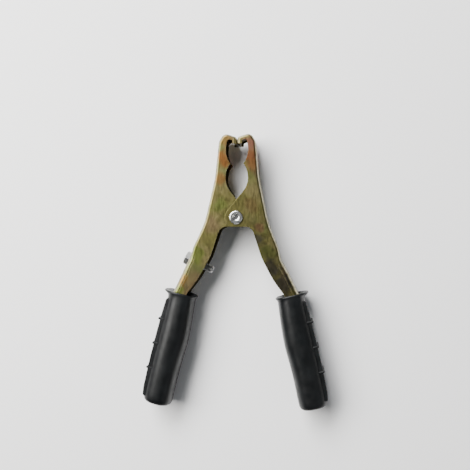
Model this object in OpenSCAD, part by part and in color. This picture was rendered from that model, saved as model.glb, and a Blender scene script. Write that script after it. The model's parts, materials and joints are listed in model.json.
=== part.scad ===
// Spring-loaded earth clamp for a welding lead.
// Two pressed-steel channels cross on a rivet; a torsion spring keeps the noses shut.
// +Z runs along the pivot, +Y points to the gripping noses, +X to the right jaw.
// The origin is on the pivot axis, on the flat rear face of the rivet, where the clamp rests.

/* [Sheet steel] */
// Thickness of the pressed sheet
sheet_t = 2; // [1.8:0.1:2.2]
// Outside depth of each channel
channel_depth = 22; // [20:0.5:24]
// Outside radius of the jaw's bends
bend_r = 2.1; // [2.1:0.1:2.3]
// Outside radius of the handle's rounder bends
handle_bend_r = 3.2; // [3:0.1:3.4]
// Gap between the flanges that slide over each other
flange_gap = 0.1; // [0.05:0.05:0.2]

/* [Jaws] */
// Distance from the pivot to the top of the noses
nose_y = 64.7; // [64.5:0.1:65.5]
// Gap that each nose leaves to the middle plane
nose_gap = 0.2; // [0.15:0.05:0.4]
// How far the nose's top slopes down to the lip
nose_dip = 3; // [2.5:0.1:3.2]
// Length of the lip that is turned down at each nose
lip_len = 5; // [4.5:0.5:7]
// Radius of the two round mouths
mouth_r = 17.5; // [17:0.1:18]
// Height of the upper mouth's centre over the pivot
upper_mouth_y = 52; // [51:0.1:53]
// Height of the lower mouth's centre over the pivot
lower_mouth_y = 30.8; // [30:0.1:31.5]
// Radius of the lug round the pivot
lug_r = 8.5; // [8:0.1:9]

/* [Pivot] */
// Radius of the rivet's shank
rivet_r = 3; // [2.8:0.1:3.2]
// Running clearance round the rivet
rivet_gap = 0.05; // [0.02:0.01:0.08]
// Radius of the rivet's heads
rivet_head_r = 5.2; // [4.8:0.1:5.6]
// Thickness of the rivet's heads
rivet_head_t = 1.95; // [1.6:0.05:2.4]

/* [Spring] */
// Diameter of the spring wire
wire_d = 2.2; // [2:0.1:2.3]
// Mean radius of the coil
coil_r = 5.5; // [5.4:0.1:5.6]
// Whole turns of the coil
coil_turns = 4; // [3:1:5]

/* [Cable bolt] */
// Nominal radius of the bolt (M6)
bolt_r = 3; // [2.9:0.05:3]
// Length of the bolt under its head
bolt_len = 20; // [18:1:22]

/* [Grips] */
// Tilt of the grips from the middle plane
grip_tilt = 13.3; // [12.5:0.1:14]
// Length of a grip below its collar
grip_len = 84.7; // [80:0.1:88]
// How far the steel reaches into the grip
steel_reach = 62; // [55:1:70]

/* [Hidden] */
$fn = 64;

half_depth = channel_depth / 2;
// Each channel is set off from the middle so that its front flange clears the other's
half_shift = (sheet_t + flange_gap) / 2;
mid_z = rivet_head_t + half_depth + half_shift;
// Middle of the right channel, of the left channel, and the flange faces they share
right_z = mid_z + half_shift;
left_z = mid_z - half_shift;
bore_r = rivet_r + rivet_gap;

// Pressed crease between the handle's rounded back and its flange
crease_from = 0.3;
crease_w = 0.8;
crease_deep = 0.5;

// Mouth centres lie beyond the middle plane, so that the mouths meet in a sharp cusp
mouth_x = -8.8;
mouth_top_y = 60;
lip_corner_y = 59.2;
mouth_top_x = 8.2;
mouth_corner_r = 2.5;
arch_y = -7;
lip_w = 3.6;
// Corners that turn less than this are plain points on a straight
straight_a = 0.1;

// Top middle of the right grip, where its own axis starts
grip_top = [42.9, -62.7];
web_v = 7.5;
flange_v = -7;

bolt_y = -32.8;
bolt_hole_r = 3.2;
bolt_head_af = 10;
bolt_head_t = 4;
washer_r = 6;
washer_t = 1.6;
lock_washer_r = 5.9;
nut_t = 5;
chamfer = 0.6;

// ---- Plane geometry ------------------------------------------------------

// A path is a list of [x, y, corner radius]; a grip point is s down its axis and v outwards
function flat(p) = [p[0], p[1]];
function grip_point(s, v) =
    grip_top + s * [sin(grip_tilt), -cos(grip_tilt)] + v * [cos(grip_tilt), sin(grip_tilt)];
function corner(p, r) = [p[0], p[1], r];
function heading(a, b) = atan2(b[1] - a[1], b[0] - a[0]);
function wrap(a) = a - 360 * round(a / 360);
function turn(path, i) =
    wrap(heading(path[i], path[i + 1]) - heading(path[i - 1], path[i]));
function is_end(path, i) = i == 0 || i == len(path) - 1;
function setback(path, i) = is_end(path, i) ? 0 : path[i][2] * tan(abs(turn(path, i)) / 2);
function toward(a, b, d) = flat(a) + d * (flat(b) - flat(a)) / norm(flat(b) - flat(a));
function right_of(h) = [sin(h), -cos(h)];
// Centre of the arc that rounds corner i
function arc_centre(path, i) =
    toward(path[i], path[i - 1], setback(path, i))
    - sign(turn(path, i)) * path[i][2] * right_of(heading(path[i - 1], path[i]));
// The path with its corners rounded in short steps, as stations:
// [x, y, heading, how far in a section may reach, 1 on the handle and 0 before it]
function stations(path, handle_from = 0, step = 6) = [
    for (i = [0 : len(path) - 1])
        let (swing = is_end(path, i) ? 0 : turn(path, i),
             before = heading(path[max(i - 1, 0)], path[max(i, 1)]),
             n = abs(swing) < straight_a ? 0 : ceil(abs(swing) / step),
             limit = path[i][2] > 0 && swing < 0 ? path[i][2] - 0.05 : channel_depth)
        for (k = [0 : n])
            let (h = n == 0 ? before : before + swing * k / n,
                 p = n == 0 ? flat(path[i])
                     : arc_centre(path, i) + sign(swing) * path[i][2] * right_of(h))
            [p[0], p[1], h, limit, i < handle_from ? 0 : 1]
];
function beside(station, w) = flat(station) + w * right_of(station[2]);

// ---- Outlines of the right jaw -------------------------------------------

// Outer face from the lip over the nose and down to the arm
nose_path = [
    [nose_gap, nose_y - nose_dip - lip_len, 0],
    [nose_gap, nose_y - nose_dip, bend_r + 0.9],
    [10.4, nose_y + 0.3, 4.5],
    [14.3, 58.2, 8],
    [15.76, 43, 0],
    [17, 30, 60],
    [24.6, -4.5, 60]
];
// The plain arm has a shoulder; the other is straight where the cable bolt sits
shoulder = [[32.2, -22.4, 25], [34.6, -32.4, 5], [40.5, -42.2, 10]];
bolt_seat = [[33, -22.6, 20], [34.2, -27.2, 6]];
entry = corner(grip_point(1.7, web_v), 12);
steel_end = corner(grip_point(steel_reach, web_v), 0);
// The section turns into the handle's between these distances below the arm's second corner
blend_from = 1;
blend_to = 4;

function back_path(seat) =
    let (back = seat ? bolt_seat : shoulder, next = seat ? entry : shoulder[2])
    concat(
        nose_path,
        [back[0], back[1]],
        [for (d = [blend_from, blend_to]) corner(toward(back[1], next, d), 0)],
        seat ? [] : [shoulder[2]],
        [entry, steel_end]
    );
function back_stations(seat) = stations(back_path(seat), len(nose_path) + 3);

// Points on an arc, from one angle to another; skip leaves out the first ones
function arc(c, r, from, to, skip = 0, step = 6) =
    let (n = ceil(abs(to - from) / step))
    [for (k = [skip : n]) let (a = from + (to - from) * k / n) c + r * [cos(a), sin(a)]];

upper_mouth = [mouth_x, upper_mouth_y];
lower_mouth = [mouth_x, lower_mouth_y];
cusp_a = asin((upper_mouth_y - lower_mouth_y) / 2 / mouth_r);
// A straight edge touches both the lower mouth and the lug
lug_touch_a = atan2(lower_mouth_y, mouth_x) + acos((lug_r + mouth_r) / norm(lower_mouth));
lug_end_a = 180 - asin(arch_y / lug_r);

// From the lug's foot round the arch and down the inner edge of the arm into the grip
arm_path = [
    [lug_r * cos(lug_end_a), arch_y, 0],
    [12.2, arch_y, 7],
    [19.9, -30.8, 50],
    [29.1, -47.7, 60],
    [38.2, -59.7, 10],
    corner(grip_point(16, flange_v), 10),
    corner(grip_point(steel_reach, flange_v), 0)
];
arm_stations = stations(arm_path);

// Free edge of the flanges, from the lip to the end of the handle
free_edge = concat(
    [flat(nose_path[0]) + [lip_w, 0], [nose_gap + lip_w, lip_corner_y]],
    arc([mouth_top_x, mouth_top_y] - mouth_corner_r * [1, 1], mouth_corner_r, 90, 0, step = 18),
    arc(upper_mouth, mouth_r, acos((mouth_top_x - mouth_x) / mouth_r), -cusp_a),
    arc(lower_mouth, mouth_r, cusp_a, lug_touch_a - 180, skip = 1),
    arc([0, 0], lug_r, lug_touch_a, lug_end_a),
    [for (i = [1 : len(arm_stations) - 1]) flat(arm_stations[i])]
);

// ---- Pressed channel -----------------------------------------------------

// Bend radius at a station; a tight corner squeezes what lies past the bend
function bend_at(st) = bend_r + st[4] * (handle_bend_r - bend_r);
function squeeze(st) = min(1, (st[3] - bend_at(st)) / (crease_from + crease_w));

// Upper half of the section at a station, from the inside over the flange to the back:
// [distance in from the back, height over the middle]
function half_section(st) =
    let (r = bend_at(st), deep = st[4] * crease_deep)
    concat(
        [[sheet_t, half_depth - sheet_t]],
        [for (p = [[1, 0], [0.7, deep], [0.3, deep], [0, 0]])
            [r + squeeze(st) * (crease_from + p[0] * crease_w), half_depth - p[1]]],
        [for (a = [90 : -15 : 0]) [r - r * cos(a), half_depth - r + r * sin(a)]]
    );
function section(st) =
    let (top = half_section(st))
    concat(top, [for (i = [len(top) - 1 : -1 : 0]) [top[i][0], -top[i][1]]]);
function reversed(list) = [for (i = [len(list) - 1 : -1 : 0]) list[i]];
function flipped(faces) = [for (f = faces) reversed(f)];
function fan(hub, ring) = [for (k = [0 : len(ring) - 2]) [hub, ring[k], ring[k + 1]]];
// Triangles between two lines of points a and b, always over the shorter diagonal
function strip(points, a, b, i = 0, j = 0, made = []) =
    i == len(a) - 1 && j == len(b) - 1 ? made
    : j == len(b) - 1 || (i < len(a) - 1
        && norm(points[a[i + 1]] - points[b[j]]) <= norm(points[a[i]] - points[b[j + 1]]))
        ? strip(points, a, b, i + 1, j, concat(made, [[a[i], a[i + 1], b[j]]]))
        : strip(points, a, b, i, j + 1, concat(made, [[a[i], b[j + 1], b[j]]]));

// One pressed channel as the right jaw, its middle plane at z = 0. Sections run down the
// back, and each flange closes between them and the free edge.
module pressing(seat) {
    line = back_stations(seat);
    n = len(section(line[0]));
    rows = len(line);
    edges = len(free_edge);
    inside = half_depth - sheet_t;
    levels = [half_depth, inside, -inside, -half_depth];
    points = concat(
        [for (st = line, p = section(st)) let (q = beside(st, p[0])) [q[0], q[1], p[1]]],
        [for (z = levels, p = free_edge) [p[0], p[1], z]]
    );
    function row(i) = [for (j = [0 : n - 1]) i * n + j];
    function column(j) = [for (i = [0 : rows - 1]) i * n + j];
    function edge(level) = [for (k = [0 : edges - 1]) rows * n + level * edges + k];
    // Half a section and the flange end beside it, in triangles round the inner corner
    function half_cap(p, tip, creased) = concat(
        creased ? fan(p[2], [p[0], tip[1], tip[0], p[1]]) : fan(p[0], [tip[1], tip[0], p[1], p[2]]),
        fan(p[0], [for (j = [2 : n / 2 - 1]) p[j]])
    );
    function end_cap(i, k, creased) =
        let (p = row(i), m = n / 2 - 1)
        concat(
            half_cap(p, [edge(0)[k], edge(1)[k]], creased),
            flipped(half_cap(reversed(p), [edge(3)[k], edge(2)[k]], creased)),
            fan(p[0], [p[m], p[m + 1], p[n - 1]])
        );
    walls = [
        for (i = [0 : rows - 2], j = concat([for (m = [1 : n - 3]) m], [n - 1]))
            let (a = row(i), b = row(i + 1), next = (j + 1) % n) [a[j], a[next], b[next], b[j]]
    ];
    edge_walls = [
        for (level = [0, 2], k = [0 : edges - 2])
            let (a = edge(level), b = edge(level + 1)) [a[k], a[k + 1], b[k + 1], b[k]]
    ];
    flanges = concat(
        strip(points, column(1), edge(0)),
        flipped(strip(points, column(0), edge(1))),
        strip(points, column(n - 1), edge(2)),
        flipped(strip(points, column(n - 2), edge(3)))
    );
    caps = concat(flipped(end_cap(0, 0, false)), end_cap(rows - 1, edges - 1, true));
    polyhedron(points, concat(walls, edge_walls, flanges, caps), convexity = 10);
}

module channel(seat) {
    difference() {
        pressing(seat);
        cylinder(r = bore_r, h = 2 * channel_depth, center = true);
    }
}

// ---- Sub-parts -----------------------------------------------------------

module right_jaw() {
    color("darkkhaki") translate([0, 0, right_z]) channel(false);
}

// Turned over about the Y axis, so its flanges lie behind the right jaw's
module left_jaw() {
    color("darkkhaki") difference() {
        translate([0, 0, left_z]) rotate([0, 180, 0]) channel(true);
        on_cable_bolt() translate([0, 0, -1]) cylinder(r = bolt_hole_r, h = sheet_t + 2);
    }
}

// Flat rear head, shank, and the front end rolled outwards round its hollow
module pivot_rivet() {
    rolled_z = right_z + half_depth + flange_gap;
    hollow_r = 1.8;
    rim_r = rivet_head_t / 2;
    color("gainsboro") rotate_extrude() difference() {
        union() {
            square([rivet_head_r - chamfer, rivet_head_t]);
            translate([0, chamfer]) square([rivet_head_r, rivet_head_t - chamfer]);
            translate([rivet_head_r - chamfer, chamfer]) circle(chamfer);
            square([rivet_r, rolled_z + rim_r]);
            translate([0, rolled_z]) square([rivet_head_r - rim_r, rivet_head_t]);
            translate([rivet_head_r - rim_r, rolled_z + rim_r]) circle(rim_r);
        }
        translate([0, rolled_z - rivet_head_t]) square([hollow_r, 3 * rivet_head_t]);
        translate([hollow_r, rolled_z + rivet_head_t]) circle(rim_r);
        translate([-rivet_head_r, -1]) square([rivet_head_r, channel_depth + 10]);
    }
}

// Keeps the flanges apart inside the spring
module spacer_sleeve() {
    low = right_z - half_depth + sheet_t + flange_gap;
    high = left_z + half_depth - sheet_t;
    wall = 0.95;
    color("silver") translate([0, 0, low]) difference() {
        cylinder(r = bore_r + wall, h = high - low);
        translate([0, 0, -1]) cylinder(r = bore_r, h = high - low + 2);
    }
}

// Wire's centre line: a foot on the right web, the coil, and a foot on the left web
leg_end = [29.2, -24.6];
leg_foot = [27.1, -19.2];
leg_a = atan2(leg_foot[1], leg_foot[0]) + acos(coil_r / norm(leg_foot));
coil_sweep = 360 * coil_turns + 180 - 2 * leg_a;
coil_pitch = wire_d + 0.15;
coil_rise = coil_pitch * coil_sweep / 360;
function coil_point(k, n) =
    let (a = leg_a + coil_sweep * k / n)
    [coil_r * cos(a), coil_r * sin(a), mid_z + coil_rise * (k / n - 0.5)];
function leg(side) = [
    for (p = [leg_end, leg_foot]) [-side * p[0], p[1], mid_z + side * coil_rise / 2]
];
coil_steps = 18 * coil_turns;
wire_line = concat(
    leg(-1),
    [for (k = [0 : coil_steps]) coil_point(k, coil_steps)],
    [leg(1)[1], leg(1)[0]]
);

// Sweeps a round section along a line that never runs straight up
module tube(line, r, sides = 10) {
    last = len(line) - 1;
    points = [
        for (i = [0 : last])
            let (along = line[min(i + 1, last)] - line[max(i - 1, 0)],
                 side = cross(along, [0, 0, 1]) / norm(cross(along, [0, 0, 1])),
                 up = cross(side, along) / norm(along))
            for (j = [0 : sides - 1])
                line[i] + r * (cos(360 * j / sides) * side + sin(360 * j / sides) * up)
    ];
    walls = [
        for (i = [0 : last - 1], j = [0 : sides - 1])
            let (next = (j + 1) % sides)
            [i * sides + j, i * sides + next, (i + 1) * sides + next, (i + 1) * sides + j]
    ];
    first_cap = [for (j = [sides - 1 : -1 : 0]) j];
    last_cap = [for (j = [0 : sides - 1]) last * sides + j];
    polyhedron(points, concat([first_cap], walls, [last_cap]), convexity = 10);
}

module torsion_spring() {
    color("dimgray") tube(wire_line, wire_d / 2);
}

// Outline of the grip at stations down its axis: [s, inner v, outer v, half depth]
grip_stations = [
    [-3.9, -11.6, 13.7, 13.6],
    [-3.2, -12, 14.2, 14],
    [-2.2, -11.9, 14, 13.9],
    [-0.8, -10.8, 11.2, 13.7],
    [0.6, -10.8, 10.2, 13.8],
    [10, -11.7, 10.4, 13.9],
    [20, -12.5, 10.5, 14],
    [34, -13.1, 10.7, 14],
    [50, -12.2, 10.8, 14],
    [67, -12, 10.8, 14],
    [grip_len - 4, -12.2, 10.4, 13.8],
    [grip_len - 1.4, -11.7, 9.6, 13.2],
    [grip_len - 0.3, -10.6, 8.5, 12.2],
    [grip_len, -9, 7, 10.8]
];
grip_sides = 40;
squareness = 3;
function bulge(x) = sign(x) * pow(abs(x), 2 / squareness);
function grip_ring(st) = [
    for (j = [0 : grip_sides - 1])
        let (a = 360 * j / grip_sides, mid = (st[1] + st[2]) / 2, half = (st[2] - st[1]) / 2)
        [mid + half * bulge(cos(a)), st[3] * mid_z / 14 * bulge(sin(a)), st[0]]
];

// The moulded outside: x is v, y is z, and z is s down the axis
module grip_skin() {
    points = [for (st = grip_stations) each grip_ring(st)];
    last = len(grip_stations) - 1;
    walls = [
        for (i = [0 : last - 1], j = [0 : grip_sides - 1])
            let (next = (j + 1) % grip_sides, n = grip_sides)
            [i * n + j, (i + 1) * n + j, (i + 1) * n + next, i * n + next]
    ];
    top = [for (j = [0 : grip_sides - 1]) j];
    bottom = [for (j = [grip_sides - 1 : -1 : 0]) last * grip_sides + j];
    polyhedron(points, concat([top], walls, [bottom]), convexity = 4);
}

// Raised strip down the back of the grip and its three cross ribs
strip_v = 11.8;
strip_w = 9;
rib_v = 12.9;
rib_w = 12;
rib_t = 1.4;
rib_s = [19.2, 38.65, 58.1];

module grip_back() {
    translate([0, -strip_w / 2, 2]) cube([strip_v, strip_w, grip_len - 6]);
    for (s = rib_s) translate([0, -rib_w / 2, s - rib_t / 2]) cube([rib_v, rib_w, rib_t]);
}

// Socket for the steel, set off from the moulding's middle like the channel in it
module grip_socket() {
    mouth_v = -6.2;
    mouth_deep = 4;
    // The web's corners are cut off, as the channel's bends are round there
    cut = 1.8;
    for (part = [[mouth_v, -10, mouth_deep], [flange_v - 0.2, mouth_deep - 1, steel_reach + 0.3]])
        translate([0, 0, part[1]]) linear_extrude(part[2] - part[1]) polygon([
            [part[0], -half_depth], [web_v - cut, -half_depth], [web_v, cut - half_depth],
            [web_v, half_depth - cut], [web_v - cut, half_depth], [part[0], half_depth]
        ]);
}

module grip() {
    translate([grip_top[0], grip_top[1], 0]) rotate([90, 0, grip_tilt]) difference() {
        translate([0, mid_z, 0]) {
            grip_skin();
            grip_back();
        }
        translate([0, right_z, 0]) grip_socket();
    }
}

module right_grip() {
    color("#1f2224") grip();
}

module left_grip() {
    color("#1f2224") translate([0, 0, 2 * mid_z]) rotate([0, 180, 0]) grip();
}

// ---- Cable bolt ----------------------------------------------------------

// Moves to the outer face of the left web, with +Z along the bolt towards the inside
module on_cable_bolt() {
    seat_h = heading(bolt_seat[1], entry);
    slide = (bolt_y - bolt_seat[1][1]) / sin(seat_h);
    seat = toward(bolt_seat[1], entry, slide);
    translate([0, 0, left_z]) mirror([1, 0, 0])
        translate([seat[0], seat[1], 0]) rotate([0, 90, seat_h - 90]) children();
}

module hexagon(af) {
    circle(d = af / cos(30), $fn = 6);
}

module cable_bolt() {
    color("darkgray") on_cable_bolt() {
        difference() {
            translate([0, 0, -bolt_head_t]) linear_extrude(bolt_head_t) hexagon(bolt_head_af);
            rotate_extrude() translate([bolt_head_af / 2, -bolt_head_t - chamfer])
                polygon([[-0.2, 0], [chamfer + 0.8, 0], [chamfer + 0.8, 1.1]]);
        }
        cylinder(r = bolt_r, h = bolt_len);
    }
}

module flat_washer() {
    color("silver") on_cable_bolt() translate([0, 0, sheet_t]) difference() {
        cylinder(r = washer_r, h = washer_t);
        translate([0, 0, -1]) cylinder(r = bolt_hole_r, h = washer_t + 2);
    }
}

module lock_washer() {
    split = 1.2;
    color("silver") on_cable_bolt() translate([0, 0, sheet_t + washer_t]) difference() {
        cylinder(r = lock_washer_r, h = washer_t);
        translate([0, 0, -1]) cylinder(r = bolt_r + 0.1, h = washer_t + 2);
        translate([0, -split / 2, -1]) cube([washer_r + 1, split, washer_t + 2]);
    }
}

module cable_nut() {
    color("darkgray") on_cable_bolt() translate([0, 0, sheet_t + 2 * washer_t]) difference() {
        linear_extrude(nut_t) hexagon(bolt_head_af);
        translate([0, 0, -1]) cylinder(r = bolt_r, h = nut_t + 2);
    }
}

left_jaw();
right_jaw();
pivot_rivet();
spacer_sleeve();
torsion_spring();
left_grip();
right_grip();
cable_bolt();
flat_washer();
lock_washer();
cable_nut();
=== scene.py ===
"""Ground clamp: two pressed-steel channels on a rivet, with moulded grips and a cable bolt."""

import json
import logging
import math
from dataclasses import dataclass
from enum import Enum

import bpy
from mathutils import Matrix, Vector

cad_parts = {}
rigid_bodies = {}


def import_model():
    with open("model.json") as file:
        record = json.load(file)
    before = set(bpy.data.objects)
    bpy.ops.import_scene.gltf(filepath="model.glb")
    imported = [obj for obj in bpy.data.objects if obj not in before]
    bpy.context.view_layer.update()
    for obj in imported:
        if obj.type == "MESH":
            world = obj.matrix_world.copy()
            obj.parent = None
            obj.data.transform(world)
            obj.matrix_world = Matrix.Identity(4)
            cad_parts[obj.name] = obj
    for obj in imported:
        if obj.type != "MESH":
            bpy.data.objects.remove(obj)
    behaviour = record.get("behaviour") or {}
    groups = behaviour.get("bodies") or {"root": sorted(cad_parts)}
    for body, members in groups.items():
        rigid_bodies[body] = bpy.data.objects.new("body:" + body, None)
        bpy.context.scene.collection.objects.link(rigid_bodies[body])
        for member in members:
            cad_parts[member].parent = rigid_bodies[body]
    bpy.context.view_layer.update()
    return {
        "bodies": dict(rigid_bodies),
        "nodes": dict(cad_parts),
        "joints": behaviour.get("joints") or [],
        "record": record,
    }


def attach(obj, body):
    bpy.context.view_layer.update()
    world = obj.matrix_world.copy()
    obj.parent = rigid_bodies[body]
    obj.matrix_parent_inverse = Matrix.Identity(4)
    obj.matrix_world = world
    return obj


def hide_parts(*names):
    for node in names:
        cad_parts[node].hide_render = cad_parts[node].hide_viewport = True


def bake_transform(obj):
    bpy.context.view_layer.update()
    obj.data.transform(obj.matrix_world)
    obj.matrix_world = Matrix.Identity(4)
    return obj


LOG = logging.getLogger("ground_clamp")
MM = 0.001
Colour = tuple[float, float, float]
Point = tuple[float, float, float]
Value = bpy.types.NodeSocket | float
Paint = bpy.types.NodeSocket | Colour
# Points of a CAD copy closer than this are one point
MERGE = 0.004 * MM
# Faces that turn less than this, in degrees, are one flat face
FLAT = 0.4
# Edges that turn less than this, in degrees, are shaded smoothly
SMOOTH = 32.0


class Body(Enum):
    """The two halves that turn on the rivet."""

    LEFT = "left_half"
    RIGHT = "right_half"


class Slot(Enum):
    """The record's material slots."""

    CHROMATE = "yellow_zinc"
    RIVET = "bright_zinc"
    BOLT = "bolt_zinc"
    WIRE = "spring_steel"
    VINYL = "black_pvc"


# ---- Node helpers --------------------------------------------------------------


class NodeSheet:
    """A material's node tree, with short calls for the nodes that the finishes share."""

    def __init__(self, name: str) -> None:
        """Starts a material with one Principled shader.

        Args:
            name: The material's name.
        """
        self.material = bpy.data.materials.new(name)
        self.material.use_nodes = True
        self.tree = self.material.node_tree
        self.tree.nodes.clear()
        self.shader = self.tree.nodes.new("ShaderNodeBsdfPrincipled")
        output = self.tree.nodes.new("ShaderNodeOutputMaterial")
        self.link(self.shader.outputs["BSDF"], output.inputs["Surface"])
        self.coords = self.tree.nodes.new("ShaderNodeTexCoord").outputs["Object"]

    def link(self, start: bpy.types.NodeSocket, end: bpy.types.NodeSocket) -> None:
        """Joins two sockets."""
        self.tree.links.new(start, end)

    def stretched(self, scale: Point) -> bpy.types.NodeSocket:
        """Object coordinates with a scale on each axis.

        Args:
            scale: Factor on x, y and z.

        Returns:
            The vector socket.
        """
        mapping = self.tree.nodes.new("ShaderNodeMapping")
        mapping.inputs["Scale"].default_value = scale
        self.link(self.coords, mapping.inputs["Vector"])
        return mapping.outputs["Vector"]

    def noise(
        self,
        scale: float,
        detail: float = 3.0,
        rough: float = 0.5,
        vector: bpy.types.NodeSocket | None = None,
    ) -> bpy.types.NodeSocket:
        """Noise from 0 to 1.

        Args:
            scale: Cells in a metre.
            detail: Octaves.
            rough: Strength of the finer octaves.
            vector: Coordinates, or None for Object coordinates.

        Returns:
            The noise value.
        """
        node = self.tree.nodes.new("ShaderNodeTexNoise")
        node.inputs["Scale"].default_value = scale
        node.inputs["Detail"].default_value = detail
        node.inputs["Roughness"].default_value = rough
        self.link(vector or self.coords, node.inputs["Vector"])
        return node.outputs["Fac"]

    def spread(
        self, value: bpy.types.NodeSocket, low: float, high: float, start: float, end: float
    ) -> bpy.types.NodeSocket:
        """Maps low..high smoothly to start..end and holds it there.

        Args:
            value: The value to map.
            low: Value that gives start.
            high: Value that gives end.
            start: First result.
            end: Last result.

        Returns:
            The mapped value.
        """
        node = self.tree.nodes.new("ShaderNodeMapRange")
        node.interpolation_type = "SMOOTHSTEP"
        self.link(value, node.inputs["Value"])
        for name, number in (
            ("From Min", low),
            ("From Max", high),
            ("To Min", start),
            ("To Max", end),
        ):
            node.inputs[name].default_value = number
        return node.outputs["Result"]

    def maths(self, operation: str, first: Value, second: Value) -> bpy.types.NodeSocket:
        """One maths node.

        Args:
            operation: Blender's name for it.
            first: Socket or number.
            second: Socket or number.

        Returns:
            The result.
        """
        node = self.tree.nodes.new("ShaderNodeMath")
        node.operation = operation
        for place, value in enumerate((first, second)):
            if isinstance(value, (int, float)):
                node.inputs[place].default_value = value
            else:
                self.link(value, node.inputs[place])
        return node.outputs[0]

    def blend(
        self, mask: bpy.types.NodeSocket, under: Paint, over: Paint
    ) -> bpy.types.NodeSocket:
        """Mixes two colours.

        Args:
            mask: 0 shows under, 1 shows over.
            under: Socket or colour.
            over: Socket or colour.

        Returns:
            The mixed colour.
        """
        node = self.tree.nodes.new("ShaderNodeMix")
        node.data_type = "RGBA"
        self.link(mask, node.inputs["Factor"])
        for place, value in ((6, under), (7, over)):
            if isinstance(value, tuple):
                node.inputs[place].default_value = (*value, 1.0)
            else:
                self.link(value, node.inputs[place])
        return node.outputs[2]

    def near(
        self, centre: Point, reach: float, wander: bpy.types.NodeSocket
    ) -> bpy.types.NodeSocket:
        """A soft patch round a point, with an uneven outline.

        Args:
            centre: Middle of the patch, in mm.
            reach: Radius, in mm.
            wander: Noise that moves the outline.

        Returns:
            1 in the patch and 0 away from it.
        """
        distance = self.tree.nodes.new("ShaderNodeVectorMath")
        distance.operation = "DISTANCE"
        self.link(self.stretched((1.0, 1.0, 0.0)), distance.inputs[0])
        distance.inputs[1].default_value = (centre[0] * MM, centre[1] * MM, 0.0)
        shift = self.maths("MULTIPLY", self.maths("SUBTRACT", wander, 0.5), reach * 1.6 * MM)
        moved = self.maths("ADD", distance.outputs["Value"], shift)
        return self.spread(moved, reach * 0.35 * MM, reach * 1.1 * MM, 1.0, 0.0)

    def bump(self, height: bpy.types.NodeSocket, depth: float) -> None:
        """Raises the shader's surface by a height map.

        Args:
            height: The map, from 0 to 1.
            depth: Full height, in metres.
        """
        node = self.tree.nodes.new("ShaderNodeBump")
        node.inputs["Strength"].default_value = 1.0
        node.inputs["Distance"].default_value = depth
        self.link(height, node.inputs["Height"])
        self.link(node.outputs["Normal"], self.shader.inputs["Normal"])


# ---- Finishes ------------------------------------------------------------------


@dataclass(frozen=True)
class TonePatch:
    """A soft patch of another colour in the chromate material."""

    centre: Point
    reach: float
    colour: Colour
    strength: float = 1.0


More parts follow.
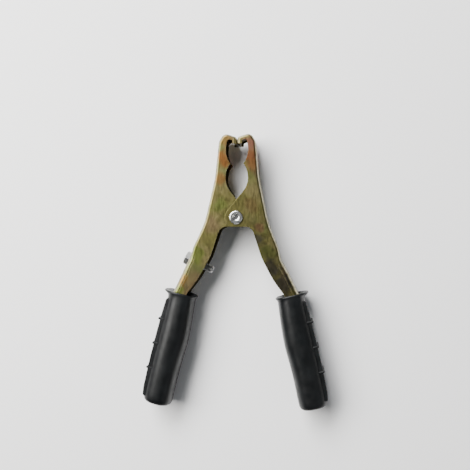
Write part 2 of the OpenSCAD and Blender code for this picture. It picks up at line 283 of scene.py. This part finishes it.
@dataclass(frozen=True)
class ChromateFinish:
    """Iridescent yellow chromate on zinc-plated steel."""

    name: str = "yellow_chromate"
    olive: Colour = (0.118, 0.108, 0.036)
    straw: Colour = (0.15, 0.128, 0.054)
    green: Colour = (0.092, 0.112, 0.038)
    # Pale colour painted on the bends as a highlight
    bend_highlight: Colour = (0.52, 0.48, 0.33)
    rose: Colour = (0.148, 0.09, 0.056)
    speckle: Colour = (0.09, 0.08, 0.035)
    relief: float = 0.000018
    tone_patches: tuple[TonePatch, ...] = (
        TonePatch((-10.5, 45.0, 0.0), 8.0, (0.149, 0.065, 0.02)),
        TonePatch((-13.5, 30.0, 0.0), 6.0, (0.149, 0.075, 0.024), 0.8),
        TonePatch((10.5, 47.0, 0.0), 8.0, (0.153, 0.063, 0.028)),
        TonePatch((13.0, 40.0, 0.0), 7.0, (0.149, 0.067, 0.024), 0.8),
        TonePatch((11.0, 57.0, 0.0), 7.0, (0.174, 0.079, 0.052)),
        TonePatch((-9.0, 60.0, 0.0), 6.0, (0.149, 0.087, 0.028), 0.8),
        TonePatch((-13.0, 10.0, 0.0), 7.0, (0.083, 0.107, 0.026), 0.7),
        TonePatch((11.0, 9.0, 0.0), 7.0, (0.124, 0.081, 0.036), 0.6),
        TonePatch((18.5, -8.0, 0.0), 5.0, (0.141, 0.075, 0.044), 0.7),
        TonePatch((-31.0, -29.0, 0.0), 9.0, (0.087, 0.111, 0.022), 0.8),
        TonePatch((-41.0, -48.0, 0.0), 6.0, (0.174, 0.095, 0.018), 0.85),
        TonePatch((-46.0, -58.0, 0.0), 7.0, (0.083, 0.115, 0.02), 0.8),
        # These four patches make the right arm darker and greyer towards its lower end
        TonePatch((17.0, -17.0, 0.0), 7.0, (0.041, 0.038, 0.031), 0.8),
        TonePatch((27.0, -26.0, 0.0), 8.0, (0.07, 0.079, 0.024), 0.8),
        TonePatch((26.0, -38.0, 0.0), 9.0, (0.036, 0.032, 0.026), 0.85),
        TonePatch((36.0, -50.0, 0.0), 12.0, (0.041, 0.038, 0.031), 0.85),
    )

    def bends(self, sheet: NodeSheet) -> bpy.types.NodeSocket:
        """Painted highlight: where the sheet bends, its colour turns pale, in place of the light
        that the bends catch.

        Args:
            sheet: The material's nodes.

        Returns:
            A mask that is 0 on the flanges, slight on the webs and strongest at the bends.
        """
        geometry = sheet.tree.nodes.new("ShaderNodeNewGeometry")
        split = sheet.tree.nodes.new("ShaderNodeSeparateXYZ")
        sheet.link(geometry.outputs["Normal"], split.inputs["Vector"])
        level = sheet.maths("ABSOLUTE", split.outputs["Z"], 0.0)
        turned = sheet.spread(level, 0.72, 0.97, 0.8, 0.0)
        patchy = sheet.spread(sheet.noise(260.0, 3.0), 0.3, 0.6, 0.45, 1.0)
        upright = sheet.spread(level, 0.1, 0.45, 0.12, 1.0)
        return sheet.maths("MULTIPLY", sheet.maths("MULTIPLY", turned, upright), patchy)

    def build(self) -> bpy.types.Material:
        """Makes the material.

        Returns:
            The finished material.
        """
        sheet = NodeSheet(self.name)
        cloudy = sheet.noise(55.0, 4.0, 0.6)
        drift = sheet.noise(120.0, 3.0, 0.55)
        colour = sheet.blend(sheet.spread(cloudy, 0.38, 0.62, 0.0, 1.0), self.olive, self.straw)
        tint = sheet.spread(sheet.noise(38.0, 2.0), 0.52, 0.68, 0.0, 0.7)
        colour = sheet.blend(tint, colour, self.green)
        blotches = sheet.noise(46.0, 2.0, 0.4, sheet.stretched((1.0, 0.7, 1.3)))
        warm = sheet.spread(blotches, 0.56, 0.7, 0.0, 0.6)
        colour = sheet.blend(warm, colour, self.rose)
        for tone_patch in self.tone_patches:
            mask = sheet.near(tone_patch.centre, tone_patch.reach, drift)
            mask = sheet.maths("MULTIPLY", mask, tone_patch.strength)
            colour = sheet.blend(mask, colour, tone_patch.colour)
        # Painted highlight: the bends turn pale, standing in for the light that they catch
        colour = sheet.blend(self.bends(sheet), colour, self.bend_highlight)
        specks = sheet.spread(sheet.noise(2600.0, 2.0), 0.35, 0.7, 0.0, 0.16)
        colour = sheet.blend(specks, colour, self.speckle)
        sheet.link(colour, sheet.shader.inputs["Base Color"])
        sheet.shader.inputs["Metallic"].default_value = 1.0
        grain = sheet.noise(900.0, 4.0, 0.6, sheet.stretched((1.0, 0.35, 1.0)))
        sheet.link(sheet.spread(grain, 0.3, 0.7, 0.3, 0.44), sheet.shader.inputs["Roughness"])
        waves = sheet.maths("ADD", sheet.maths("MULTIPLY", sheet.noise(60.0, 2.0), 8.0), grain)
        sheet.bump(waves, self.relief)
        return sheet.material


@dataclass(frozen=True)
class ZincFinish:
    """Bright or dulled clear zinc."""

    name: str
    colour: Colour
    dull: Colour
    rough: float
    grain: float = 1400.0
    relief: float = 0.00002

    def build(self) -> bpy.types.Material:
        """Makes the material.

        Returns:
            The finished material.
        """
        sheet = NodeSheet(self.name)
        tarnish = sheet.spread(sheet.noise(420.0, 4.0, 0.6), 0.42, 0.68, 0.0, 1.0)
        sheet.link(sheet.blend(tarnish, self.colour, self.dull), sheet.shader.inputs["Base Color"])
        sheet.shader.inputs["Metallic"].default_value = 1.0
        fine = sheet.noise(self.grain, 4.0, 0.65)
        rough = sheet.spread(fine, 0.3, 0.7, self.rough * 0.8, self.rough * 1.3)
        sheet.link(rough, sheet.shader.inputs["Roughness"])
        sheet.bump(fine, self.relief)
        return sheet.material


@dataclass(frozen=True)
class VinylFinish:
    """Semi-gloss moulded black vinyl, with a faint skin and dust."""

    name: str = "black_vinyl"
    colour: Colour = (0.0018, 0.0023, 0.0026)
    dusty: Colour = (0.0045, 0.0055, 0.006)
    rough: float = 0.37
    refraction: float = 1.38
    relief: float = 0.00002

    def build(self) -> bpy.types.Material:
        """Makes the material.

        Returns:
            The finished material.
        """
        sheet = NodeSheet(self.name)
        dust = sheet.spread(sheet.noise(85.0, 5.0, 0.65), 0.4, 0.72, 0.0, 1.0)
        sheet.link(sheet.blend(dust, self.colour, self.dusty), sheet.shader.inputs["Base Color"])
        skin = sheet.noise(1500.0, 3.0, 0.5)
        smear = sheet.noise(130.0, 3.0, 0.6)
        rough = sheet.spread(smear, 0.3, 0.7, self.rough - 0.05, self.rough + 0.08)
        sheet.link(rough, sheet.shader.inputs["Roughness"])
        sheet.shader.inputs["IOR"].default_value = self.refraction
        soft = sheet.noise(170.0, 2.0)
        surface = sheet.maths("ADD", sheet.maths("MULTIPLY", soft, 6.0), skin)
        sheet.bump(surface, self.relief)
        return sheet.material


# ---- Edit-mode helpers ---------------------------------------------------------


def only(piece: bpy.types.Object) -> None:
    """Selects one object, and makes it active.

    Args:
        piece: The object.
    """
    bpy.ops.object.select_all(action="DESELECT")
    piece.select_set(True)
    bpy.context.view_layer.objects.active = piece


def merged_copy(node: bpy.types.Object, name: str) -> bpy.types.Object:
    """Copies a CAD node, and joins its loose triangles into clean flat faces.

    Args:
        node: The CAD object.
        name: Name of the copy.

    Returns:
        The copy.
    """
    piece = bpy.data.objects.new(name, node.data.copy())
    piece.data.name = name
    piece.data.materials.clear()
    bpy.context.scene.collection.objects.link(piece)
    only(piece)
    bpy.ops.object.mode_set(mode="EDIT")
    bpy.ops.mesh.select_all(action="SELECT")
    bpy.ops.mesh.remove_doubles(threshold=MERGE)
    bpy.ops.mesh.dissolve_limited(angle_limit=math.radians(FLAT))
    bpy.ops.object.mode_set(mode="OBJECT")
    return piece


def faces_out() -> None:
    """Turns every face of the edited mesh outwards, and leaves edit mode."""
    bpy.ops.mesh.select_all(action="SELECT")
    bpy.ops.mesh.normals_make_consistent(inside=False)
    bpy.ops.object.mode_set(mode="OBJECT")


def broken_edges(piece: bpy.types.Object, width: float, angle: float, steps: int = 2) -> None:
    """Rounds a piece's sharp edges a little, and shades what is round smoothly.

    Args:
        piece: The piece.
        width: Width of the rounding, in mm.
        angle: Edges sharper than this are rounded, in degrees.
        steps: Faces across the rounding.
    """
    only(piece)
    bevel = piece.modifiers.new("broken_edges", "BEVEL")
    bevel.width = width * MM
    bevel.segments = steps
    bevel.limit_method = "ANGLE"
    bevel.angle_limit = math.radians(angle)
    bevel.use_clamp_overlap = True
    bpy.ops.object.modifier_apply(modifier=bevel.name)
    bpy.ops.object.shade_smooth_by_angle(angle=math.radians(SMOOTH))
    weights = piece.modifiers.new("flat_faces_stay_flat", "WEIGHTED_NORMAL")
    weights.keep_sharp = True
    bpy.ops.object.modifier_apply(modifier=weights.name)


def fitted(piece: bpy.types.Object, material: bpy.types.Material, body: Body) -> None:
    """Dresses a piece and lets it ride on its half.

    Args:
        piece: The finished piece.
        material: Its material.
        body: The half that it rides on.
    """
    piece.data.materials.clear()
    piece.data.materials.append(material)
    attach(piece, body.value)
    LOG.info("%s: %d faces on %s", piece.name, len(piece.data.polygons), body.value)


# ---- Sub-assemblies ------------------------------------------------------------


@dataclass
class PressedHalf:
    """One pressed channel, with its raw edges broken."""

    node: str
    body: Body
    edge_break: float = 0.22
    sharp: float = 50.0

    def build(self, frame: dict, finish: bpy.types.Material) -> bpy.types.Object:
        """Makes the channel from its CAD shape.

        Args:
            frame: The loaded frame.
            finish: The chromate material.

        Returns:
            The finished channel.
        """
        piece = merged_copy(frame["nodes"][self.node], f"{self.node}_pressing")
        broken_edges(piece, self.edge_break, self.sharp)
        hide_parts(self.node)
        fitted(piece, finish, self.body)
        return piece


@dataclass
class Turned:
    """A small turned or stamped part that keeps its CAD shape, with softened edges."""

    node: str
    slot: Slot
    edge_break: float = 0.15
    sharp: float = 38.0
    body: Body = Body.LEFT

    def build(self, frame: dict, finish: bpy.types.Material) -> bpy.types.Object:
        """Makes the part from its CAD shape.

        Args:
            frame: The loaded frame.
            finish: Its material.

        Returns:
            The finished part.
        """
        piece = merged_copy(frame["nodes"][self.node], f"{self.node}_part")
        broken_edges(piece, self.edge_break, self.sharp)
        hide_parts(self.node)
        fitted(piece, finish, self.body)
        return piece


@dataclass
class Spring:
    """The torsion spring, of round wire."""

    node: str = "torsion_spring"
    low_z: float = 9.6
    high_z: float = 18.4
    smooth: float = 50.0

    def build(self, frame: dict, finish: bpy.types.Material) -> bpy.types.Object:
        """Rounds the wire.

        Args:
            frame: The loaded frame.
            finish: The wire's material.

        Returns:
            The finished spring.
        """
        piece = merged_copy(frame["nodes"][self.node], "torsion_spring_wire")
        only(piece)
        rounding = piece.modifiers.new("round_wire", "SUBSURF")
        rounding.levels = rounding.render_levels = 1
        bpy.ops.object.modifier_apply(modifier=rounding.name)
        bpy.ops.object.shade_smooth_by_angle(angle=math.radians(self.smooth))
        piece.data.materials.append(finish)
        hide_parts(self.node)
        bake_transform(piece)
        LOG.info("%s: %d faces", piece.name, len(piece.data.polygons))
        return piece


@dataclass
class Grip:
    """A moulded vinyl grip: a guard collar, a bellied sleeve, and a ribbed spine.

    Each ring of the sleeve is (distance down the grip, inner side, outer side, half depth).
    """

    node: str
    body: Body
    turned_over: bool
    top: Point = (42.9, -62.7, 14.0)
    tilt: float = 13.3
    sides: int = 56
    squareness: float = 2.45
    rings: tuple[tuple[float, float, float, float], ...] = (
        (-1.6, -7.6, 8.6, 11.6),
        (-3.3, -8.2, 9.4, 12.0),
        (-3.9, -10.2, 12.4, 13.3),
        (-3.8, -11.4, 13.6, 13.8),
        (-3.3, -12.0, 14.2, 14.0),
        (-2.6, -12.0, 14.2, 14.0),
        (-2.1, -11.5, 13.2, 13.9),
        (-1.2, -10.95, 11.5, 13.8),
        (0.2, -10.7, 10.4, 13.8),
        (4.0, -11.1, 10.25, 13.85),
        (10.0, -11.7, 10.4, 13.9),
        (20.0, -12.5, 10.5, 14.0),
        (27.0, -12.95, 10.6, 14.0),
        (34.0, -13.1, 10.7, 14.0),
        (42.0, -12.8, 10.75, 14.0),
        (50.0, -12.2, 10.8, 14.0),
        (58.0, -12.0, 10.8, 14.0),
        (67.0, -12.0, 10.8, 14.0),
        (75.0, -12.1, 10.65, 13.9),
        (80.7, -12.2, 10.4, 13.8),
        (82.6, -11.9, 10.0, 13.5),
        (83.7, -11.2, 9.2, 12.8),
        (84.4, -10.0, 8.0, 11.7),
        (84.7, -8.4, 6.4, 10.2),
        (84.7, -4.0, 2.0, 5.0),
    )
    spine_root: float = 5.0
    spine_half: float = 9.6
    spine: tuple[tuple[float, float], ...] = (
        (2.4, 9.9),
        (4.0, 10.6),
        (18.0, 11.35),
        (38.0, 11.75),
        (58.0, 11.8),
        (74.0, 11.4),
        (79.5, 10.6),
        (80.5, 9.9),
    )
    rib_places: tuple[float, ...] = (19.2, 38.65, 58.1)
    rib_size: Point = (7.6, 20.6, 1.5)
    rib_top: float = 12.8
    rib_edge: float = 0.55
    spine_edge: float = 0.7
    sharp: float = 40.0
    smooth: float = 60.0

    def placed(self, piece: bpy.types.Object) -> None:
        """Moves a piece from the grip's own axis to its place on the clamp.

        Args:
            piece: A piece with x outwards, y through the clamp and z down the grip.
        """
        place = (
            Matrix.Translation(Vector(self.top) * MM)
            @ Matrix.Rotation(math.radians(self.tilt), 4, "Z")
            @ Matrix.Rotation(math.radians(90.0), 4, "X")
        )
        if self.turned_over:
            over = Matrix.Translation((0.0, 0.0, 2.0 * self.top[2] * MM))
            place = over @ Matrix.Rotation(math.radians(180.0), 4, "Y") @ place
        piece.data.transform(place)

    def sleeve(self) -> bpy.types.Object:
        """Draws the sleeve out of one ring, from inside the collar to the closed end.

        Returns:
            The sleeve, on the grip's own axis.
        """
        bpy.ops.object.select_all(action="DESELECT")
        bpy.ops.mesh.primitive_circle_add(vertices=self.sides, radius=1.0, fill_type="NGON")
        piece = bpy.context.active_object
        piece.name = f"{self.node}_sleeve"
        power = 2.0 / self.squareness
        for vertex in piece.data.vertices:
            x, y = vertex.co.x, vertex.co.y
            vertex.co.x = math.copysign(abs(x) ** power, x)
            vertex.co.y = math.copysign(abs(y) ** power, y)
        bpy.ops.object.mode_set(mode="EDIT")
        bpy.ops.mesh.select_all(action="SELECT")
        # The circle starts with a radius of 1 m, at the top of the grip
        before = (0.0, -1.0 / MM, 1.0 / MM, 1.0 / MM)
        for count, ring in enumerate(self.rings):
            aside = (ring[1] + ring[2] - before[1] - before[2]) / 2
            shift = (aside * MM, 0.0, (ring[0] - before[0]) * MM)
            if count:
                bpy.ops.mesh.extrude_region_move(TRANSFORM_OT_translate={"value": shift})
            else:
                bpy.ops.transform.translate(value=shift)
            bpy.ops.transform.resize(
                value=((ring[2] - ring[1]) / (before[2] - before[1]), ring[3] / before[3], 1.0),
                center_override=((ring[1] + ring[2]) / 2 * MM, 0.0, ring[0] * MM),
            )
            before = ring
        faces_out()
        rounding = piece.modifiers.new("moulded_skin", "SUBSURF")
        rounding.levels = rounding.render_levels = 1
        bpy.ops.object.modifier_apply(modifier=rounding.name)
        bpy.ops.object.shade_smooth_by_angle(angle=math.radians(self.smooth))
        return piece

    def rib(self, place: float) -> bpy.types.Object:
        """Makes one cross rib of the spine.

        Args:
            place: Its distance down the grip, in mm.

        Returns:
            The rib.
        """
        bpy.ops.object.select_all(action="DESELECT")
        bpy.ops.mesh.primitive_cube_add(
            size=1.0,
            scale=tuple(side * MM for side in self.rib_size),
            location=((self.rib_top - self.rib_size[0] / 2) * MM, 0.0, place * MM),
        )
        bpy.ops.object.transform_apply(location=True, scale=True)
        piece = bpy.context.active_object
        broken_edges(piece, self.rib_edge, self.sharp, 3)
        return piece

    def ridge(self) -> bpy.types.Object:
        """Makes the raised spine with its three ribs.

        Returns:
            The spine, on the grip's own axis.
        """
        bpy.ops.object.select_all(action="DESELECT")
        start, width = self.spine[0][0], self.spine[0][1] - self.spine_root
        bpy.ops.mesh.primitive_plane_add(size=1.0)
        piece = bpy.context.active_object
        piece.name = f"{self.node}_spine"
        bpy.ops.object.mode_set(mode="EDIT")
        bpy.ops.mesh.select_all(action="SELECT")
        bpy.ops.transform.resize(value=(width * MM, 2 * self.spine_half * MM, 1.0))
        bpy.ops.transform.translate(value=((self.spine_root + width / 2) * MM, 0.0, start * MM))
        for level, top in self.spine[1:]:
            bpy.ops.mesh.extrude_region_move(
                TRANSFORM_OT_translate={"value": (0.0, 0.0, (level - start) * MM)}
            )
            bpy.ops.transform.resize(
                value=((top - self.spine_root) / width, 1.0, 1.0),
                center_override=(self.spine_root * MM, 0.0, level * MM),
            )
            start, width = level, top - self.spine_root
        faces_out()
        broken_edges(piece, self.spine_edge, self.sharp, 3)
        ribs = [self.rib(place) for place in self.rib_places]
        only(piece)
        for rib in ribs:
            rib.select_set(True)
        bpy.ops.object.join()
        return piece

    def build(self, finish: bpy.types.Material) -> list[bpy.types.Object]:
        """Makes the grip.

        Args:
            finish: The vinyl material.

        Returns:
            Its sleeve and its spine.
        """
        pieces = [self.sleeve(), self.ridge()]
        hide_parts(self.node)
        for piece in pieces:
            self.placed(piece)
            fitted(piece, finish, self.body)
        return pieces


@dataclass
class CableStud:
    """The cable bolt: chamfered hexagon head, shank and rolled thread."""

    seat: Point = (-36.791, -32.8, 12.95)
    along: Point = (0.90756, -0.41989, 0.0)
    across_flats: float = 10.0
    head_t: float = 4.0
    length: float = 20.0
    thread_from: float = 3.0
    radius: float = 3.0
    pitch: float = 1.0
    groove: float = 0.55
    chamfer: float = 0.9
    turned_share: float = 0.46
    turned_slope: float = 1.75
    head_edge: float = 0.12
    sharp: float = 20.0
    smooth: float = 28.0
    sunk: float = 0.05

    def placed(self, piece: bpy.types.Object) -> None:
        """Turns a piece from its own axis to the bolt's, with its place in its mesh.

        Args:
            piece: A piece whose +Z is the bolt's direction.
        """
        turn = Vector(self.along).to_track_quat("Z", "Y").to_matrix().to_4x4()
        piece.data.transform(Matrix.Translation(Vector(self.seat) * MM) @ turn)

    def head(self) -> bpy.types.Object:
        """Makes the head: a hexagon whose outer corners are turned off to a cone.

        Returns:
            The head, on its own axis.
        """
        bpy.ops.object.select_all(action="DESELECT")
        bpy.ops.mesh.primitive_cylinder_add(
            vertices=6,
            radius=self.across_flats / math.sqrt(3.0) * MM,
            depth=self.head_t * MM,
            location=(0.0, 0.0, -self.head_t / 2 * MM),
        )
        hexagon = bpy.context.active_object
        bpy.ops.object.transform_apply(location=True)
        bpy.ops.mesh.primitive_cone_add(
            vertices=96,
            radius1=self.across_flats * self.turned_share * MM,
            radius2=(self.across_flats * self.turned_share + self.head_t * self.turned_slope) * MM,
            depth=self.head_t * MM,
            location=(0.0, 0.0, -self.head_t / 2 * MM),
        )
        cone = bpy.context.active_object
        bpy.ops.object.transform_apply(location=True)
        only(hexagon)
        meet = hexagon.modifiers.new("turned_corners", "BOOLEAN")
        meet.operation = "INTERSECT"
        meet.solver = "EXACT"
        meet.object = cone
        bpy.ops.object.modifier_apply(modifier=meet.name)
        bpy.data.objects.remove(cone)
        hexagon.name = "cable_bolt_head"
        broken_edges(hexagon, self.head_edge, self.sharp)
        return hexagon

    def shank(self) -> bpy.types.Object:
        """Makes the shank: a plain length, then ridges to a chamfered end.

        Returns:
            The shank, on its own axis.
        """
        bpy.ops.object.select_all(action="DESELECT")
        bpy.ops.mesh.primitive_circle_add(
            vertices=48,
            radius=self.radius * MM,
            fill_type="NGON",
            location=(0.0, 0.0, -self.sunk * MM),
        )
        piece = bpy.context.active_object
        piece.name = "cable_bolt_shank"
        bpy.ops.object.transform_apply(location=True)
        bpy.ops.object.mode_set(mode="EDIT")
        bpy.ops.mesh.select_all(action="SELECT")
        steps = [(self.thread_from, self.radius)]
        ridges = int((self.length - self.thread_from - self.chamfer) / self.pitch)
        for k in range(ridges):
            base = self.thread_from + k * self.pitch
            steps.append((base + self.pitch * 0.45, self.radius - self.groove))
            steps.append((base + self.pitch * 0.55, self.radius - self.groove))
            steps.append((base + self.pitch * 0.94, self.radius))
            steps.append((base + self.pitch, self.radius))
        steps.append((self.length, self.radius - self.chamfer))
        height, width = -self.sunk, self.radius
        for level, size in steps:
            bpy.ops.mesh.extrude_region_move(
                TRANSFORM_OT_translate={"value": (0.0, 0.0, (level - height) * MM)}
            )
            ratio = size / width
            bpy.ops.transform.resize(
                value=(ratio, ratio, 1.0), center_override=(0.0, 0.0, level * MM)
            )
            height, width = level, size
        faces_out()
        bpy.ops.object.shade_smooth_by_angle(angle=math.radians(self.smooth))
        return piece

    def build(self, finish: bpy.types.Material) -> list[bpy.types.Object]:
        """Makes the bolt.

        Args:
            finish: The bolt's material.

        Returns:
            Its pieces.
        """
        pieces = [self.head(), self.shank()]
        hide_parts("cable_bolt")
        for piece in pieces:
            self.placed(piece)
            fitted(piece, finish, Body.LEFT)
        return pieces


@dataclass(frozen=True)
class Lamp:
    """One square softbox: its place in metres, side in metres, and power in watts."""

    name: str
    place: Point
    size: float
    power: float
    tint: Colour

    def hang(self, aim: Vector) -> None:
        """Adds the light, facing a point.

        Args:
            aim: The point that it faces.
        """
        light = bpy.data.lights.new(self.name, "AREA")
        light.size = self.size
        light.energy = self.power
        light.color = self.tint
        holder = bpy.data.objects.new(self.name, light)
        holder.location = self.place
        holder.rotation_euler = (aim - Vector(self.place)).to_track_quat("-Z", "Y").to_euler()
        bpy.context.scene.collection.objects.link(holder)


@dataclass
class Studio:
    """Pale floor, soft lights and the camera.

    The camera's sizes are in mm, and those of the floor and the lights in metres.
    """

    aim: Point = (-0.6, -13.4, 26.0)
    distance: float = 520.0
    swing: float = 5.0
    roll: float = 0.7
    frame_width: float = 359.0
    sensor: float = 36.0
    floor_size: float = 6.0
    floor_z: float = -0.0006
    floor_rough: float = 0.9
    floor_colour: Colour = (0.93, 0.93, 0.93)
    room_colour: Colour = (0.95, 0.97, 1.0)
    room_light: float = 0.14
    lit: Point = (0.0, -0.02, 0.01)
    lamps: tuple[Lamp, ...] = (
        Lamp("key_light", (-0.78, 0.3, 0.92), 0.85, 33.0, (1.0, 0.985, 0.96)),
        Lamp("fill_light", (1.1, -0.5, 0.9), 1.2, 2.0, (0.93, 0.96, 1.0)),
        Lamp("top_light", (-0.45, 0.95, 1.0), 0.7, 36.0, (1.0, 1.0, 1.0)),
    )

    def floor(self) -> None:
        """Lays the floor under the clamp."""
        bpy.ops.object.select_all(action="DESELECT")
        bpy.ops.mesh.primitive_plane_add(size=self.floor_size, location=(0.0, 0.0, self.floor_z))
        ground = bpy.context.active_object
        ground.name = "studio_floor"
        material = bpy.data.materials.new("pale_floor")
        material.use_nodes = True
        shader = material.node_tree.nodes["Principled BSDF"]
        shader.inputs["Base Color"].default_value = (*self.floor_colour, 1.0)
        shader.inputs["Roughness"].default_value = self.floor_rough
        ground.data.materials.append(material)

    def camera(self) -> None:
        """Sets the camera over the clamp, a little to its right."""
        lens = bpy.data.cameras.new("camera")
        lens.sensor_width = self.sensor
        lens.lens = self.sensor * self.distance / self.frame_width
        holder = bpy.data.objects.new("camera", lens)
        bpy.context.scene.collection.objects.link(holder)
        angle = math.radians(self.swing)
        aim = Vector(self.aim) * MM
        back = Vector((math.sin(angle), 0.0, math.cos(angle)))
        tilt = math.radians(self.roll)
        up = Vector((-math.sin(tilt), math.cos(tilt), 0.0))
        right = up.cross(back).normalized()
        up = back.cross(right).normalized()
        turn = Matrix((right, up, back)).transposed().to_4x4()
        holder.matrix_world = Matrix.Translation(aim + back * self.distance * MM) @ turn
        bpy.context.scene.camera = holder

    def build(self) -> None:
        """Makes the whole studio."""
        self.floor()
        self.camera()
        for lamp in self.lamps:
            lamp.hang(Vector(self.lit))
        world = bpy.data.worlds.new("soft_room")
        bpy.context.scene.world = world
        world.use_nodes = True
        background = world.node_tree.nodes["Background"]
        background.inputs["Color"].default_value = (*self.room_colour, 1.0)
        background.inputs["Strength"].default_value = self.room_light


def main() -> None:
    """Builds the clamp and the studio."""
    logging.basicConfig(level=logging.INFO, format="%(name)s: %(message)s")
    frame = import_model()
    chromate = ChromateFinish().build()
    rivet_zinc = ZincFinish("rivet_zinc", (0.80, 0.80, 0.78), (0.56, 0.56, 0.54), 0.2).build()
    bolt_zinc = ZincFinish("bolt_zinc_plate", (0.52, 0.52, 0.51), (0.36, 0.36, 0.35), 0.36).build()
    wire = ZincFinish("oiled_wire", (0.20, 0.20, 0.21), (0.10, 0.10, 0.10), 0.34).build()
    vinyl = VinylFinish().build()
    Studio().build()
    for node, body in (("left_jaw", Body.LEFT), ("right_jaw", Body.RIGHT)):
        PressedHalf(node, body).build(frame, chromate)
    for node in ("pivot_rivet", "spacer_sleeve"):
        Turned(node, Slot.RIVET).build(frame, rivet_zinc)
    for node in ("flat_washer", "lock_washer", "cable_nut"):
        Turned(node, Slot.BOLT).build(frame, bolt_zinc)
    Spring().build(frame, wire)
    CableStud().build(bolt_zinc)
    Grip("left_grip", Body.LEFT, True).build(vinyl)
    Grip("right_grip", Body.RIGHT, False).build(vinyl)


if __name__ == "__main__":
    main()
